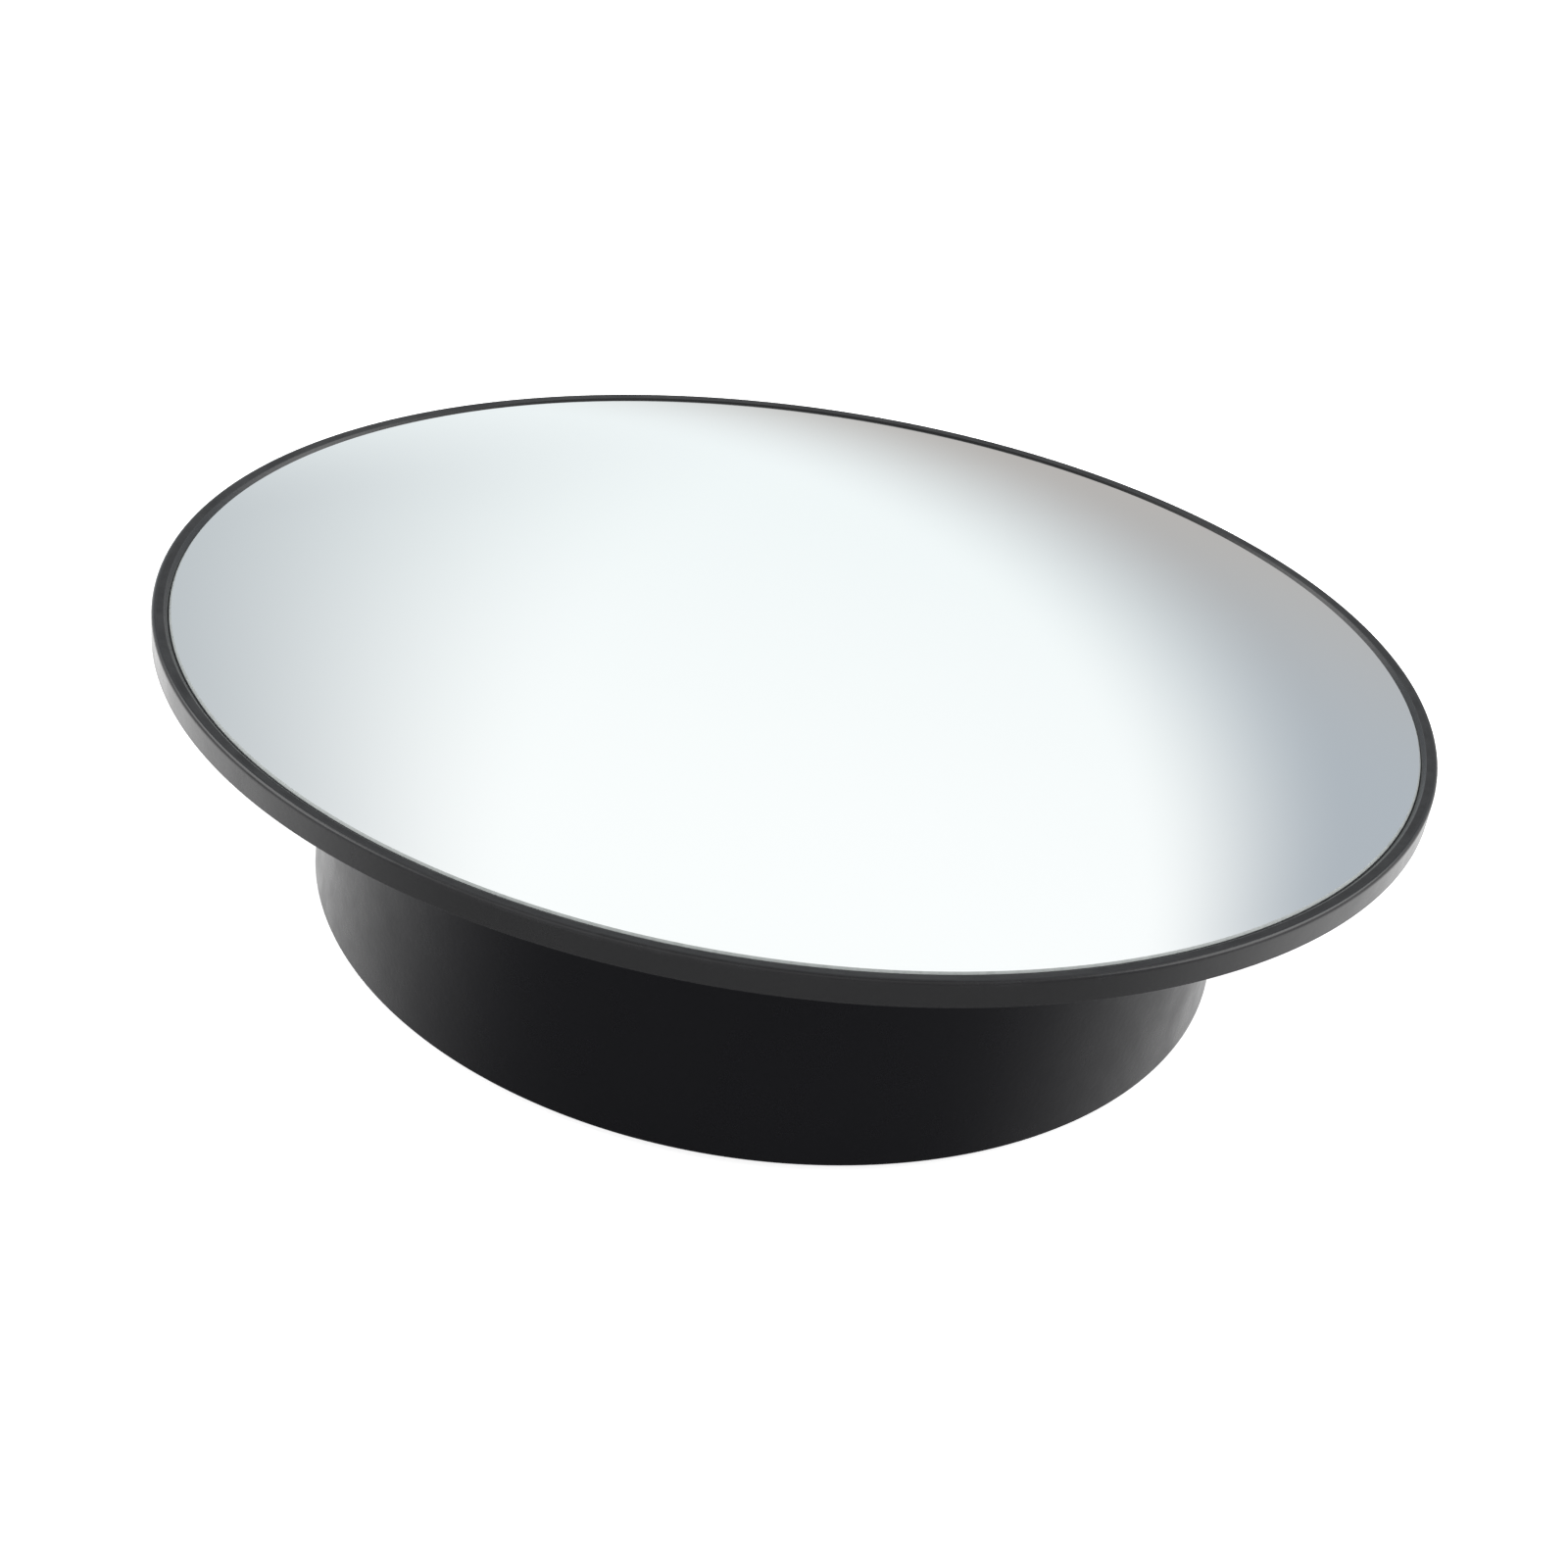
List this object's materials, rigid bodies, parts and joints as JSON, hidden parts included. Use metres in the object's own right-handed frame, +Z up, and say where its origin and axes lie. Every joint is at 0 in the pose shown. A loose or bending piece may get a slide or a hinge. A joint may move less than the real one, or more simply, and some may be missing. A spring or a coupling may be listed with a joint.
{
  "type": "convex security mirror",
  "caption": "Small round convex mirror in a thin black frame, on a black stick-on drum that swivels all round and tilts on a hidden hinge.",
  "frame": {"origin": "centre of the adhesive pad's underside, on the drum's axis", "axes": "+Z up along the drum's axis, away from the surface it is stuck to; the tilt hinge's axis is parallel to X; at rest the mirror's edge on the -Y side is raised"},
  "size_m": [0.095, 0.0945, 0.0272],
  "materials": {
    "mirror_face": "silvered glass, polished, with a seamed edge",
    "frame_black": "semi-gloss moulded ABS",
    "shell_black": "fine satin moulded ABS",
    "drum_black": "satin moulded ABS",
    "base_black": "satin moulded ABS",
    "foam_tape": "closed-cell acrylic foam tape",
    "bracket_steel": "pressed steel sheet",
    "zinc_steel": "bright zinc plate",
    "spring_steel": "oiled spring steel",
    "white_nylon": "natural nylon"
  },
  "bodies": {
    "base": {"adhesive_pad": "foam_tape", "base_plate": "base_black", "thrust_washer": "white_nylon", "retaining_washer": "zinc_steel", "centre_screw": "zinc_steel"},
    "drum": {"drum_shell": "drum_black", "disc_spring": "spring_steel", "pivot_bracket": "bracket_steel", "bracket_screw_1": "zinc_steel", "bracket_screw_2": "zinc_steel", "bracket_screw_3": "zinc_steel", "bracket_screw_4": "zinc_steel", "hinge_pin": "zinc_steel", "pin_clip": "spring_steel", "friction_washer_left": "white_nylon", "friction_washer_right": "white_nylon"},
    "head": {"back_shell": "shell_black", "glass_pad": "foam_tape", "mirror_glass": "mirror_face", "bezel_ring": "frame_black"}
  },
  "joints": [
    {"name": "swivel", "type": "hinge", "parent": "base", "child": "drum", "pos_m": [0, 0, 0], "axis": [0, 0, 1], "continuous": true},
    {"name": "tilt", "type": "hinge", "parent": "drum", "child": "head", "pos_m": [0, 0, 0.01275], "axis": [1, 0, 0], "range_deg": [0, 12.6]}
  ]
}
